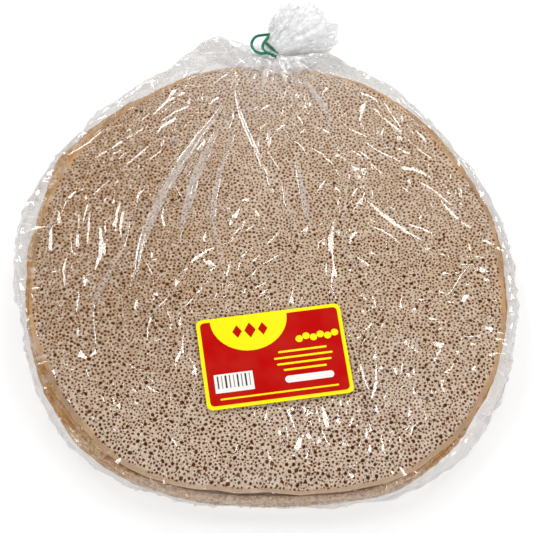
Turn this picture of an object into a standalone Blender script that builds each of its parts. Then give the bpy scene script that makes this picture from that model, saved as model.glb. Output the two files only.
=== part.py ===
"""A stack of injera flatbreads in a clear bag that is gathered and tied at one end.

The pack lies on its flat underside, at z = 0, with the tied neck towards +Y.
The origin is at the middle of the pack's bounding box, on the underside.
The bag is one solid: the film with the stack inside, the neck and the free end.
"""

import bmesh
import bpy
import math

# The body of the bag, seen from above: an egg, wider at the near end.
HALF_WIDTH = 0.1785
HALF_LENGTH = 0.1880
CENTRE_Y = -0.0120
EGG = 0.105
EGG_SQUARENESS = 2.25

# Its side profile: flat above and below, round at the rim.
TOP_Z = 0.0272
RIM_Z = 0.0115
RIM_ROUNDNESS = 7.0
FLAT_MARGIN = 0.0006

# Folds that run from the neck over the top, and the lumpy edges of the stack.
FOLD_HEIGHT = 0.0016
FOLD_COUNT = 17
FOLD_FADE = 0.20
FOLD_SWING = 3.0
RIPPLE_HEIGHT = 0.0007
RIPPLE_WAVES = ((61.0, 43.0, 0.0), (38.0, -71.0, 1.3))
EDGE_LUMP = 0.0016
EDGE_LUMPS = (7, 13, 22)
EDGE_LUMP_OFFSET = 2.1
EDGE_LUMP_END = 0.74
EDGE_LUMP_FADE = 0.12

# The gathered neck and the free end of the bag, which stands up a little.
NECK = (0.0070, 0.1665, 0.0165)
NECK_RADIUS = 0.0085
NECK_LENGTH = 0.0044
NECK_PLEATS = 9
NECK_PLEAT_DEPTH = 0.07
SHOULDER_PLEAT_DEPTH = 0.06
RUFFLE_LENGTH = 0.0261
RUFFLE_HALF_WIDTH = 0.0265
RUFFLE_HALF_HEIGHT = 0.0100
RUFFLE_SHIFT = 0.0190
RUFFLE_YAW = math.radians(6)
RUFFLE_PITCH = math.radians(22)
RUFFLE_LOBES = 5
RUFFLE_LOBE_DEPTH = 0.10
RUFFLE_PLEAT_DEPTH = 0.05
RUFFLE_SLANT = 0.10
RUFFLE_FLARE_SPEED = 1.25
RUFFLE_FLARE_POWER = 0.85
RUFFLE_FUNNEL = 0.010
RUFFLE_FUNNEL_INSET = 0.55
RUFFLE_FUNNEL_NARROWING = 0.8

# How finely the bag is divided.
AROUND = 72
BODY_RINGS = 44
NECK_RINGS = 7
RUFFLE_RINGS = 8
LAST_BODY_RING = 0.86

# The label, stuck on the top near the front edge.
LABEL_WIDTH = 0.1016
LABEL_DEPTH = 0.0685
LABEL_THICKNESS = 0.0004
LABEL_CORNER = 0.0042
LABEL_CENTRE = (0.0054, -0.0905)
LABEL_TURN = math.radians(8)
LABEL_GAP = 0.0004
LABEL_CORNER_STEPS = 6
LABEL_FLAT_REACH = 0.030

# The twist tie: a flat ribbon round the neck, with a loop and a twisted end.
TIE_WIDTH = 0.0024
TIE_THICKNESS = 0.0009
TIE_GAP = 0.0006
TIE_STEPS = 30
TIE_SIDES = 8
TIE_SQUARENESS = 0.7
TIE_LOOP_ROOT = math.radians(136)
TIE_LOOP_LENGTH = 0.0180
TIE_LOOP_HALF_WIDTH = 0.0058
TIE_LOOP_LEAN = math.radians(42)
TIE_LOOP_LIFT = 0.0014
TIE_TWIST_ROOT = math.radians(131)
TIE_TWIST_AHEAD = (-0.30, -0.42, 0.80)
TIE_TWIST_LENGTH = 0.0085
TIE_TWIST_RADIUS = 0.0014
TIE_TWIST_TURNS = 2.5

FILM = ("clear_film", (0.86, 0.87, 0.87, 0.35), 0.12)
PRINT = ("label_print", (0.60, 0.02, 0.02, 1.0), 0.35)
TIE = ("green_tie", (0.01, 0.22, 0.09, 1.0), 0.35)


def clear_scene():
    for thing in list(bpy.data.objects):
        bpy.data.objects.remove(thing)


def material(name, colour, roughness):
    made = bpy.data.materials.new(name)
    made.use_nodes = True
    shader = made.node_tree.nodes["Principled BSDF"]
    shader.inputs["Base Color"].default_value = colour
    shader.inputs["Roughness"].default_value = roughness
    shader.inputs["Metallic"].default_value = 0.0
    made.diffuse_color = colour
    return made


def mesh_object(name, points, faces, look):
    """A mesh object with its faces turned outwards and shaded smooth."""
    mesh = bpy.data.meshes.new(name)
    mesh.from_pydata(points, [], faces)
    shape = bmesh.new()
    shape.from_mesh(mesh)
    bmesh.ops.recalc_face_normals(shape, faces=shape.faces)
    shape.to_mesh(mesh)
    shape.free()
    for face in mesh.polygons:
        face.use_smooth = True
    mesh.materials.append(look)
    made = bpy.data.objects.new(name, mesh)
    bpy.context.scene.collection.objects.link(made)
    return made


def smooth_step(value):
    value = min(max(value, 0.0), 1.0)
    return value * value * (3.0 - 2.0 * value)


def signed_power(value, power):
    return math.copysign(abs(value) ** power, value)


def half_width(s):
    """Half the body's width at s, which runs from -1 at the near end to 1."""
    rounded = (1.0 - abs(s) ** EGG_SQUARENESS) ** (1.0 / EGG_SQUARENESS)
    return HALF_WIDTH * (1.0 - EGG * s) * rounded


def plan_radius(x, y):
    """How far out a point lies in plan: 0 at the body's middle and 1 at its rim."""
    s = (y - CENTRE_Y) / HALF_LENGTH
    across = x / (HALF_WIDTH * (1.0 - EGG * s))
    power = EGG_SQUARENESS
    return min((abs(across) ** power + abs(s) ** power) ** (1.0 / power), 1.0)


def label_distance(x, y):
    """How far a point lies outside the label, in plan."""
    dx = x - LABEL_CENTRE[0]
    dy = y - LABEL_CENTRE[1]
    along = abs(dx * math.cos(LABEL_TURN) + dy * math.sin(LABEL_TURN))
    up = abs(dy * math.cos(LABEL_TURN) - dx * math.sin(LABEL_TURN))
    out_along = max(along - LABEL_WIDTH / 2, 0.0)
    out_up = max(up - LABEL_DEPTH / 2, 0.0)
    return math.hypot(out_along, out_up)


def folds(x, y):
    """The height of the film's folds at a point of the top."""
    reach = math.hypot(x - NECK[0], y - NECK[1])
    turn = math.atan2(x - NECK[0], NECK[1] - y)
    pleat = math.sin(FOLD_COUNT * turn + FOLD_SWING * math.sin(2.0 * turn))
    fade = math.exp(-reach / FOLD_FADE)
    ripple = math.prod(math.sin(a * x + b * y + c) for a, b, c in RIPPLE_WAVES)
    flat = smooth_step(label_distance(x, y) / LABEL_FLAT_REACH)
    return flat * (FOLD_HEIGHT * fade * pleat + RIPPLE_HEIGHT * ripple)


def edge_push(x, y, radius):
    """How far the uneven edges of the stack push the film outwards."""
    turn = math.atan2(y - CENTRE_Y, x)
    waves = sum(math.sin(count * (turn + EDGE_LUMP_OFFSET)) for count in EDGE_LUMPS)
    return EDGE_LUMP * waves / len(EDGE_LUMPS) * radius**RIM_ROUNDNESS


def body_point(s, turn):
    """A point of the body's ring at s; turn runs round the ring from +X."""
    y = CENTRE_Y + s * HALF_LENGTH
    x = half_width(s) * math.cos(turn)
    radius = plan_radius(x, y)
    bulge = (1.0 - radius**RIM_ROUNDNESS) ** (1.0 / RIM_ROUNDNESS)
    if math.sin(turn) > 0.0:
        z = RIM_Z + (TOP_Z - RIM_Z) * bulge + bulge * folds(x, y)
    else:
        z = max(RIM_Z * (1.0 - bulge) - FLAT_MARGIN, 0.0)
    push = edge_push(x, y, radius)
    direction = math.atan2(y - CENTRE_Y, x)
    away = 1.0 - smooth_step((s - EDGE_LUMP_END) / EDGE_LUMP_FADE)
    x += push * away * math.cos(direction)
    y += push * away * math.sin(direction)
    return (x, y, z)


def pleated(turn, depth):
    return 1.0 + depth * math.cos(NECK_PLEATS * turn)


def neck_point(share, turn):
    """A point between the body's last ring (share 0) and the neck (share 1).

    The film closes in along a quarter of an ellipse, pleated on the way.
    """
    start = body_point(LAST_BODY_RING, turn)
    size = NECK_RADIUS * pleated(turn, NECK_PLEAT_DEPTH)
    end_x = NECK[0] + size * math.cos(turn)
    end_z = NECK[2] + size * math.sin(turn)
    angle = share * math.pi / 2.0
    pull = 1.0 - math.cos(angle)
    pleat = 1.0 + SHOULDER_PLEAT_DEPTH * math.sin(2.0 * angle) * math.cos(
        2 * NECK_PLEATS * turn
    )
    x = start[0] + (end_x - start[0]) * pull * pleat
    z = start[2] + (end_z - start[2]) * pull * pleat
    y = start[1] + (NECK[1] - NECK_LENGTH / 2 - start[1]) * math.sin(angle)
    return (x, y, z)


def ruffle_axes(share):
    """The free end's own directions: out along it, across it, and up from it.

    At share 0 it follows the neck, and at share 1 it has its full lean.
    """
    lean = smooth_step(share * 2.5)
    yaw = RUFFLE_YAW * lean
    pitch = RUFFLE_PITCH * lean
    flat = math.cos(pitch)
    out = (math.sin(yaw) * flat, math.cos(yaw) * flat, math.sin(pitch))
    across = (math.cos(yaw), -math.sin(yaw), 0.0)
    up = (-math.sin(yaw) * math.sin(pitch), -math.cos(yaw) * math.sin(pitch), flat)
    return out, across, up


def ruffle_point(share, distance, side, rise):
    out, across, up = ruffle_axes(share)
    shift = RUFFLE_SHIFT * smooth_step(share * 2.0)
    start = (NECK[0] + shift, NECK[1] + NECK_LENGTH / 2, NECK[2])
    return tuple(
        start[i] + distance * out[i] + side * across[i] + rise * up[i]
        for i in range(3)
    )


def ruffle_ring(share, inset):
    """One ring of the free end: share runs from the neck to its rim.

    An inset of 1 shrinks the ring to a point; it makes the funnel in the end.
    """
    flare = smooth_step(share * RUFFLE_FLARE_SPEED) ** RUFFLE_FLARE_POWER
    ring = []
    for k in range(AROUND):
        turn = 2.0 * math.pi * k / AROUND
        lobes = RUFFLE_LOBE_DEPTH * math.cos(RUFFLE_LOBES * turn + 0.7)
        fine = RUFFLE_PLEAT_DEPTH * math.cos(2 * NECK_PLEATS * turn + 1.9)
        wave = 1.0 + share * (lobes + fine)
        narrow = NECK_RADIUS * pleated(turn, NECK_PLEAT_DEPTH)
        width = narrow + (RUFFLE_HALF_WIDTH - narrow) * flare
        height = narrow + (RUFFLE_HALF_HEIGHT - narrow) * flare
        end = 1.0 + RUFFLE_SLANT * math.sin(2.0 * turn + 0.6) * share
        distance = RUFFLE_LENGTH * share * end - RUFFLE_FUNNEL * inset
        size = wave * (1.0 - RUFFLE_FUNNEL_NARROWING * inset)
        side = width * size * math.cos(turn)
        rise = height * size * math.sin(turn)
        ring.append(ruffle_point(share, distance, side, rise))
    return ring


def bag_rings():
    rings = []
    for i in range(1, BODY_RINGS + 1):
        angle = math.pi * i / BODY_RINGS
        s = -1.0 + (1.0 + LAST_BODY_RING) * (1.0 - math.cos(angle)) / 2.0
        turns = [2.0 * math.pi * k / AROUND for k in range(AROUND)]
        rings.append([body_point(s, turn) for turn in turns])
    for i in range(1, NECK_RINGS + 1):
        share = i / NECK_RINGS
        turns = [2.0 * math.pi * k / AROUND for k in range(AROUND)]
        rings.append([neck_point(share, turn) for turn in turns])
    for i in range(RUFFLE_RINGS + 1):
        rings.append(ruffle_ring(i / RUFFLE_RINGS, 0.0))
    rings.append(ruffle_ring(1.0, RUFFLE_FUNNEL_INSET))
    return rings


def bag():
    """The film round the stack, closed at the near end and in the funnel."""
    near = (0.0, CENTRE_Y - HALF_LENGTH, RIM_Z)
    rings = bag_rings()
    far = ruffle_point(1.0, RUFFLE_LENGTH - RUFFLE_FUNNEL, 0.0, 0.0)
    points = [near] + [point for ring in rings for point in ring] + [far]
    faces = []
    for k in range(AROUND):
        after = (k + 1) % AROUND
        faces.append((0, 1 + after, 1 + k))
        for row in range(len(rings) - 1):
            low = 1 + row * AROUND
            high = low + AROUND
            faces.append((low + k, low + after, high + after, high + k))
        last = 1 + (len(rings) - 1) * AROUND
        faces.append((last + k, last + after, len(points) - 1))
    return mesh_object("bag", points, faces, material(*FILM))


def label():
    """A thin plate with rounded corners that lies just above the film."""
    shape = bmesh.new()
    bmesh.ops.create_cube(shape, size=1.0)
    size = (LABEL_WIDTH, LABEL_DEPTH, LABEL_THICKNESS)
    bmesh.ops.scale(shape, vec=size, verts=shape.verts)
    upright = [
        edge
        for edge in shape.edges
        if abs(edge.verts[0].co.z - edge.verts[1].co.z) > LABEL_THICKNESS / 2
    ]
    bmesh.ops.bevel(
        shape,
        geom=upright,
        offset=LABEL_CORNER,
        offset_type="OFFSET",
        segments=LABEL_CORNER_STEPS,
        profile=0.5,
        affect="EDGES",
    )
    mesh = bpy.data.meshes.new("label")
    shape.to_mesh(mesh)
    shape.free()
    mesh.materials.append(material(*PRINT))
    made = bpy.data.objects.new("label", mesh)
    bpy.context.scene.collection.objects.link(made)
    height = TOP_Z + LABEL_GAP + LABEL_THICKNESS / 2
    made.location = (LABEL_CENTRE[0], LABEL_CENTRE[1], height)
    made.rotation_euler = (0.0, 0.0, LABEL_TURN)
    return made


def unit(vector):
    length = math.sqrt(sum(value * value for value in vector))
    return tuple(value / length for value in vector)


def cross(a, b):
    return (
        a[1] * b[2] - a[2] * b[1],
        a[2] * b[0] - a[0] * b[2],
        a[0] * b[1] - a[1] * b[0],
    )


def ribbon(name, path, flat_normal, half_wide, half_thick, closed, look):
    """A strip swept along a path, wide across the given normal's plane."""
    count = len(path)
    points = []
    for i, here in enumerate(path):
        before = path[i - 1] if closed or i > 0 else here
        after = path[(i + 1) % count] if closed or i < count - 1 else here
        ahead = unit(tuple(after[j] - before[j] for j in range(3)))
        thick = unit(cross(ahead, flat_normal(i)))
        wide = unit(cross(thick, ahead))
        for k in range(TIE_SIDES):
            turn = 2.0 * math.pi * (k + 0.5) / TIE_SIDES
            a = half_thick * signed_power(math.cos(turn), TIE_SQUARENESS)
            b = half_wide * signed_power(math.sin(turn), TIE_SQUARENESS)
            points.append(tuple(here[j] + a * thick[j] + b * wide[j] for j in range(3)))
    faces = []
    for i in range(count if closed else count - 1):
        low = i * TIE_SIDES
        high = (i + 1) % count * TIE_SIDES
        for k in range(TIE_SIDES):
            after = (k + 1) % TIE_SIDES
            faces.append((low + k, low + after, high + after, high + k))
    if not closed:
        faces.append(tuple(range(TIE_SIDES)))
        faces.append(tuple(range((count - 1) * TIE_SIDES, count * TIE_SIDES)))
    return mesh_object(name, points, faces, look)


def tie_ring_radius():
    return NECK_RADIUS * (1.0 + NECK_PLEAT_DEPTH) + TIE_GAP + TIE_THICKNESS / 2


def band_point(turn):
    """A point of the middle of the band round the neck."""
    radius = tie_ring_radius()
    x = NECK[0] + radius * math.cos(turn)
    z = NECK[2] + radius * math.sin(turn)
    return (x, NECK[1], z)


def tie_band(look):
    """The part of the tie that goes round the neck."""
    path = [band_point(2.0 * math.pi * i / TIE_STEPS) for i in range(TIE_STEPS)]
    half_wide = TIE_WIDTH / 2
    half_thick = TIE_THICKNESS / 2
    return ribbon(
        "twist_tie", path, lambda i: (0.0, 1.0, 0.0), half_wide, half_thick, True, look
    )


def tie_loop(look):
    """The tie's long end, bent back into a loop to the left of the neck."""
    root = band_point(TIE_LOOP_ROOT)
    path = []
    for i in range(TIE_STEPS):
        turn = 2.0 * math.pi * i / TIE_STEPS
        out = TIE_LOOP_LENGTH * (1.0 + math.cos(turn)) / 2.0
        side = TIE_LOOP_HALF_WIDTH * math.sin(turn)
        x = root[0] - out * math.cos(TIE_LOOP_LEAN) + side * math.sin(TIE_LOOP_LEAN)
        y = root[1] + out * math.sin(TIE_LOOP_LEAN) + side * math.cos(TIE_LOOP_LEAN)
        path.append((x, y, root[2] + TIE_LOOP_LIFT * math.sin(turn)))
    half_wide = TIE_WIDTH / 2
    half_thick = TIE_THICKNESS / 2
    return ribbon(
        "tie_loop", path, lambda i: (0.0, 0.0, 1.0), half_wide, half_thick, True, look
    )


def tie_twist(look):
    """The two ends twisted together, pointing up and to the front."""
    root = band_point(TIE_TWIST_ROOT)
    ahead = unit(TIE_TWIST_AHEAD)
    side = unit(cross(ahead, (1.0, 0.0, 0.0)))
    other = cross(side, ahead)
    path = []
    for i in range(TIE_STEPS // 2 + 1):
        share = i / (TIE_STEPS // 2)
        along = TIE_TWIST_LENGTH * (share - 0.1)
        path.append(tuple(root[j] + along * ahead[j] for j in range(3)))
    turns = 2.0 * math.pi * TIE_TWIST_TURNS / (TIE_STEPS // 2)

    def flat(i):
        angle = turns * i
        return tuple(
            math.cos(angle) * side[j] + math.sin(angle) * other[j] for j in range(3)
        )

    return ribbon(
        "tie_twist", path, flat, TIE_TWIST_RADIUS, TIE_TWIST_RADIUS / 2, False, look
    )


def twist_tie():
    look = material(*TIE)
    band = tie_band(look)
    for piece in (tie_loop(look), tie_twist(look)):
        piece.hide_render = True
        piece.display_type = "WIRE"
        union = band.modifiers.new("join_" + piece.name, "BOOLEAN")
        union.operation = "UNION"
        union.solver = "EXACT"
        union.object = piece
    return band


clear_scene()
bag()
label()
twist_tie()
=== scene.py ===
"""The looks of a bagged stack of injera: breads, crumpled film, label and tie.

All sizes are in metres, in the frame of the CAD model: the pack lies on z = 0 and
its tied neck points towards +Y. Outlines are radii round PACK_CENTRE, at even steps
anticlockwise from +X.
"""

import math

import bpy
import numpy as np
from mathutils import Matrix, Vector
from mathutils.geometry import delaunay_2d_cdt


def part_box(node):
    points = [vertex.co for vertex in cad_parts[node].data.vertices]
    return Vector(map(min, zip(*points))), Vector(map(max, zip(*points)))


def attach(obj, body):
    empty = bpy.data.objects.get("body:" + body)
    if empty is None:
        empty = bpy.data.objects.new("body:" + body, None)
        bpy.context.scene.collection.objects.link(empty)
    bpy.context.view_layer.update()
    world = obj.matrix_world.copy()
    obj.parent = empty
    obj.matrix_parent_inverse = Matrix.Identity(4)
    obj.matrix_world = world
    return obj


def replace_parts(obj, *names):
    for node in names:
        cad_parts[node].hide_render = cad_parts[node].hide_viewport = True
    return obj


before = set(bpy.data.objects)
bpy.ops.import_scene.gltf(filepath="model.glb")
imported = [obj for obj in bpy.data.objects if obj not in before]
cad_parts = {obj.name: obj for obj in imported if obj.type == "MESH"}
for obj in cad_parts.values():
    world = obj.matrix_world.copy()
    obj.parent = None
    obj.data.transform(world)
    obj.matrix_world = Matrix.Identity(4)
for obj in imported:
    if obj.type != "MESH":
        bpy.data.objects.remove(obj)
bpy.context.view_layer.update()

MM = 0.001


def mm(*sizes):
    """Sizes that are given in millimetres."""
    return np.array(sizes, float) * MM


# The stack of breads, from the bottom to the top.
BREADS = 7
PACK_CENTRE = mm(0.0, -18.0)
STACK_BOTTOM = 0.9 * MM
BREAD_PITCH = 3.55 * MM
BREAD_THICKNESS = 3.8 * MM
STACK_TOP = STACK_BOTTOM + (BREADS - 1) * BREAD_PITCH + BREAD_THICKNESS
BREAD_AROUND = 560
# The outlines of the lower breads and of the top one, every 15 degrees.
STACK_RADII = mm(
    *(170.5, 169, 166.5, 168.5, 170.5, 172, 169.5, 173, 171.5, 174, 177, 172.5),
    *(172.5, 174.5, 179.5, 182.5, 181, 175.5, 172, 177.5, 185, 184.5, 180, 175),
)
TOP_RADII = mm(
    *(166.5, 166, 161.5, 164, 167, 167.5, 166, 168.5, 166.5, 167.5, 167.5, 167.5),
    *(167.5, 171.5, 173.5, 176.5, 179, 174.5, 171.5, 176.5, 183, 183.5, 179, 173),
)
TOP_BREAD_ROUND = 2.2 * MM
# How much the pack thins at its edge, as a share, every 30 degrees.
EDGE_SAG = np.array([0, 0, 0, 0, 0, 0, 0.02, 0.08, 0.18, 0.22, 0.14, 0.04])
EDGE_SAG_WIDTH = 26.0 * MM
SAG_INSET = 48.0 * MM
# How strong the crease under the top bread is, every 30 degrees, which also sets
# the shade painted into it, and how high the bread below it curls up to it.
CREASE = np.array([0, 0, 0, 0, 0, 0, 0, 0, 0.4, 1.0, 0.4, 0])
CREASE_LEVEL = BREADS - 4
CREASE_CURL = 2.6 * MM
# How wide the top bread's rim without pores is, every 30 degrees.
PLAIN_EDGES = mm(3.8, 3.6, 3.2, 3, 3, 3.6, 3.4, 3.8, 3.4, 2.8, 3.2, 4.2)

# The pores of the top bread: the tries and the most of each size, and the gap kept.
LARGE_PORES = (4200, 900, 0.7 * MM)
MIDDLE_PORES = (150000, 10500, 0.24 * MM)
SMALL_PORES = (90000, 5000, 0.14 * MM)

# The film's outline, every 15 degrees.
FILM_RADII = mm(
    *(175.5, 173.5, 170, 173, 178, 180, 177.5, 189, 180.5, 179.5, 180, 182),
    *(179, 178, 183.5, 187, 184.5, 178.5, 175.3, 181, 189.5, 193, 188.5, 182),
)
# Puffs of the film beside the neck: direction in degrees, width, size in mm.
FILM_SHOULDERS = ((101.5, 0.095, 10.5), (74.0, 0.07, 6.0))
FILM_TOP = 26.9 * MM
FILM_BOTTOM = 0.4 * MM
FILM_RAGGED = 1.6 * MM
FILM_RIM_WIDTH = 9.0 * MM
FILM_RIM_SQUARENESS = 0.5
FILM_SIDE_LENGTH = 35.0 * MM
FILM_AROUND = 300
FILM_CRISP = math.radians(9)
# How far out on the unrolled film a fold or a point may lie, as a share.
FILM_REACH = 0.985

CREST_HALF = 0.4 * MM
WIDE_FOLD = 4.0 * MM
SHORTEST_FOLD = 6 * MM
# How much of its flanks' width a fold keeps clear of the others.
FLANK_KEPT = 0.62
# The ribs of a wide fold: where they lie across it, and how high they rise.
FOLD_RIBS = ((-0.5, 1.0), (-0.28, 0.55), (-0.1, 0.95), (0.18, 0.5), (0.5, 0.9))
# Folds of four kinds: the tries for each, the step of their points, and the
# steepest that their flanks get, in degrees.
PLEATS, PLEAT_STEP, PLEAT_STEEPEST = 90, 9 * MM, 32
LOOSE_FOLDS, LOOSE_STEP, LOOSE_STEEPEST = 340, 8 * MM, 32
RIM_FOLDS, RIM_STEP, RIM_STEEPEST = 600, 6.5 * MM, 50
CRUMPLE_STEP, CRUMPLE_STEEPEST, SHARD_STEEPEST = 5 * MM, 22, 27
LEAST_STEEP = 13
# Long folds of the film: how wide they lie flat, their height, their milkiness, and
# their course, in mm.
LONG_STEP, LONG_STEEPEST = 8 * MM, 26
LONG_FOLDS = (
    (0, 0.45, 0.3, ((-23, 144), (-21, 112), (-8, 75), (9, 30))),
    (4.6, 0.5, 0.5, ((-32, 112), (-56, 75), (-75, 37), (-87, 3), (-94, -30))),
    (5.0, 0.5, 0.55, ((-22, 126), (-42, 78), (-54, 42), (-62, 2))),
    (0, 0.4, 0.3, ((40, 107), (59, 67), (55, 0), (76, -38), (98, -72))),
    (0, 0.35, 0.2, ((86, 142), (100, 96), (132, 33), (160, 13))),
    (0, 0.2, 0.3, ((-104, 98), (-131, 75), (-150, 33), (-157, -17), (-149, -82))),
    (2.5, 0.4, 0.4, ((-26, 134), (-20, 104), (-33, 60), (-38, 20), (-30, -20))),
    (0, 0.3, 0.3, ((-3, 118), (14, 131), (30, 124), (26, 107))),
    (3.5, 0.4, 0.5, ((26, 140), (46, 104), (62, 60), (50, 20), (57, -20))),
    (0, 0.3, 0.2, ((100, 122), (134, 76), (155, 33), (164, -15))),
    (1.5, 0.35, 0.2, ((99, 95), (116, 62), (137, 29), (166, 6))),
    (0, 0.35, 0.2, ((112, -58), (129, -42), (146, -19), (164, -30))),
    (2.0, 0.35, 0.3, ((-97, 24), (-104, -8), (-122, -52), (-118, -84))),
)
# Crumpled places of the film: their middle and spread in mm, the folds' heading
# and its spread in degrees, their number, the shortest and longest of them, and
# the highest, in mm. The shards are the few largest folds.
SHARDS = (
    (100, -84, 8, 7, 66, 10, 12, 14, 24, 3.4),
    (118, -104, 8, 7, 66, 10, 12, 14, 24, 3.4),
    (90, -112, 8, 7, 96, 9, 12, 14, 26, 3.4),
    (126, -74, 7, 9, 96, 9, 10, 14, 24, 3.4),
    (22, -158, 12, 4, 84, 12, 8, 12, 20, 2.6),
    (50, -146, 6, 7, 84, 12, 8, 12, 20, 2.6),
)
CRUMPLES = (
    (82, -146, 9, 8, 88, 10, 20, 14, 28, 1.6),
    (102, -140, 8, 8, 74, 14, 20, 12, 24, 1.5),
    (122, -112, 10, 9, 60, 22, 20, 12, 24, 1.5),
    (136, -60, 12, 10, 20, 14, 8, 14, 26, 1.5),
    (-116, -122, 10, 8, -42, 16, 8, 12, 22, 1.5),
    (-92, 6, 6, 10, 60, 12, 3, 14, 22, 1.6),
    (-24, 10, 6, 6, 60, 10, 2, 14, 20, 1.4),
    (70, -138, 26, 17, 94, 12, 340, 12, 36, 1.1),
    (108, -116, 18, 18, 60, 22, 240, 10, 32, 1.1),
    (125, -58, 18, 26, 14, 16, 170, 8, 28, 0.8),
    (122, -94, 18, 12, 10, 50, 90, 5, 18, 0.9),
    (112, 104, 14, 10, -46, 6, 60, 24, 70, 0.5),
    (148, 58, 8, 24, -68, 6, 60, 24, 60, 0.4),
    (129, 38, 20, 24, -40, 9, 60, 18, 56, 0.8),
    (-90, 98, 24, 14, 40, 7, 50, 24, 60, 0.8),
    (-112, 52, 14, 20, 62, 12, 24, 18, 46, 0.8),
    (-126, -20, 12, 40, 96, 12, 24, 20, 56, 0.8),
    (-116, -128, 18, 14, -42, 20, 140, 6, 20, 0.7),
    (25, 114, 28, 10, 35, 35, 50, 10, 28, 0.7),
    (-19, -23, 24, 16, 56, 12, 24, 14, 40, 0.8),
    (67, 4, 18, 36, 75, 35, 60, 8, 28, 0.9),
    (-25, -168, 60, 12, 90, 18, 60, 5, 12, 0.6),
    (-66, -80, 20, 36, 84, 20, 24, 10, 30, 0.8),
    (60, 84, 24, 18, -46, 12, 40, 14, 40, 0.8),
    (-60, 100, 16, 14, 62, 16, 24, 12, 34, 0.8),
    (-96, 82, 26, 20, 20, 40, 12, 5, 12, 0.9),
)
# Places with fewer folds than elsewhere: x, y and radius in mm.
CALM_PLACES = ((2, 45, 50), (-5, -10, 40), (-88, -104, 34), (-120, -50, 30), (-40, -150, 40))

# The gathered end: its neck, the plane in which it fans out, and the fan's reach.
NECK = mm(4.0, 169.5, 16.5)
NECK_RADIUS = 7.6 * MM
PLEATS_MEET = NECK[:2] - mm(0.0, 5.0)
FAN_PITCH = math.radians(25)
FAN_MIDDLE = math.radians(44)
FAN_HALF = math.radians(52)
FAN_TURNS = np.radians([-8, 0, 12, 22, 36, 47.5, 56, 63.4, 70, 76, 84, 96])
FAN_REACH = mm(38, 47, 52, 51.5, 48, 48, 40, 36, 37, 35, 28, 16)
FAN_COLUMNS = 46
FAN_ROWS = 11
SKIRT_ROWS = 9
# Half the skirt's width along the film's rim, and how far it reaches onto the top.
SKIRT_TURN = 54 * MM / 0.183
SKIRT_DEPTH = 27 * MM

LABEL_BOX = np.array(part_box("label"), float)
LABEL_TURN = math.radians(8)
LABEL_CENTRE = LABEL_BOX.mean(axis=0)[:2]
LABEL_SIZE = mm(101.6, 68.5)
YELLOW, RED, WHITE, DARK = range(4)

# The tie's loop and strand, and the twisted end that closes them, as they lie before
# they are lifted towards the viewer.
TIE_WIDTH = 2.5 * MM
TIE_THICKNESS = 0.7 * MM
TIE_SIDES = 12
TIE_LIFT = 8.5 * MM
TIE_SWING = 0.75 * MM
TIE_LOOP = mm(
    (2.6, 180.4, 19.0),
    (-2.3, 178.0, 22.0),
    (-8.2, 175.6, 23.0),
    (-11.2, 170.0, 22.5),
    (-9.3, 164.8, 21.5),
    (-4.4, 162.2, 21.0),
    (0.0, 162.6, 21.0),
)
TIE_STRAND = mm(
    (2.9, 180.0, 19.6),
    (0.6, 175.0, 22.0),
    (-2.4, 169.4, 23.0),
    (-2.6, 165.8, 22.0),
    (0.2, 162.8, 21.6),
)
TIE_TWIST = mm((-0.6, 162.9, 21.3), (2.5, 161.4, 21.6), (7.2, 158.9, 21.4))

# The camera, the direction towards it, and the one that level film mirrors to it.
CAMERA_ELEVATION = math.radians(63)
CAMERA_DISTANCE = 1.36
CAMERA_TARGET = (0.0, -0.012, 0.0105)
CAMERA_LENS = 127.9
TO_VIEWER = np.array([0.0, -0.454, 0.891])
MIRRORED = (0.0, 0.454, 0.891)
# The studio's lamps: place, size and power in watts, all aimed at one point.
LAMP_TARGET = (0.0, -0.012, 0.01)
LAMPS = {
    "left": ((-0.86, 0.72, 1.15), (0.38, 0.38), 5.5),
    "back_left": ((-0.50, 1.25, 0.88), (0.54, 0.29), 5.6),
    "back_right": ((0.52, 1.25, 0.88), (0.54, 0.29), 5.6),
    "right": ((0.86, 0.72, 1.15), (0.42, 0.42), 6.5),
    "front_left": ((-1.1, -0.72, 0.66), (0.40, 0.24), 2.2),
    "front_right": ((1.1, -0.72, 0.66), (0.40, 0.24), 2.2),
    "front": ((0.1, -1.30, 1.80), (2.0, 1.4), 6.2),
}
FLOOR_HALF = 4.0
FLOOR_GLOW = 0.43


# ---------------------------------------------------------------- numbers


def curve(a, b, c, d, t):
    """The Catmull-Rom curve from b to c, at share t."""
    bend = (3 * (b - c) + d - a) * t + 2 * a - 5 * b + 4 * c - d
    return b + 0.5 * t * (c - a + t * bend)


def periodic(values, turn):
    """A smooth closed curve through values that are evenly spaced round a turn."""
    count = len(values)
    place = np.mod(np.asarray(turn) / (2 * np.pi), 1.0) * count
    i = np.floor(place).astype(int)
    return curve(*(values[(i + k) % count] for k in (-1, 0, 1, 2)), place - i)


def smooth_path(points, steps=8):
    """A smooth curve through points."""
    ends = [2 * points[0] - points[1], *points, 2 * points[-1] - points[-2]]
    made = [
        curve(*four, k / steps)
        for four in zip(ends, ends[1:], ends[2:], ends[3:])
        for k in range(steps)
    ]
    return np.array([*made, points[-1]])


def full_turn(count):
    return np.linspace(0, 2 * np.pi, count, endpoint=False)


def heading(turn):
    """Directions in plan, at the given turns."""
    return np.stack([np.cos(turn), np.sin(turn)], -1)


def polar(x, y, centre=PACK_CENTRE):
    """The turn and the distance of places, from a centre in plan."""
    dx, dy = x - centre[0], y - centre[1]
    return np.arctan2(dy, dx), np.hypot(dx, dy)


def plan_places(turn, reach, centre=PACK_CENTRE):
    """The places at these turns and distances from a centre in plan."""
    return centre + reach[:, None] * heading(turn)


def smooth_step(value):
    value = np.clip(value, 0.0, 1.0)
    return value * value * (3.0 - 2.0 * value)


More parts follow.
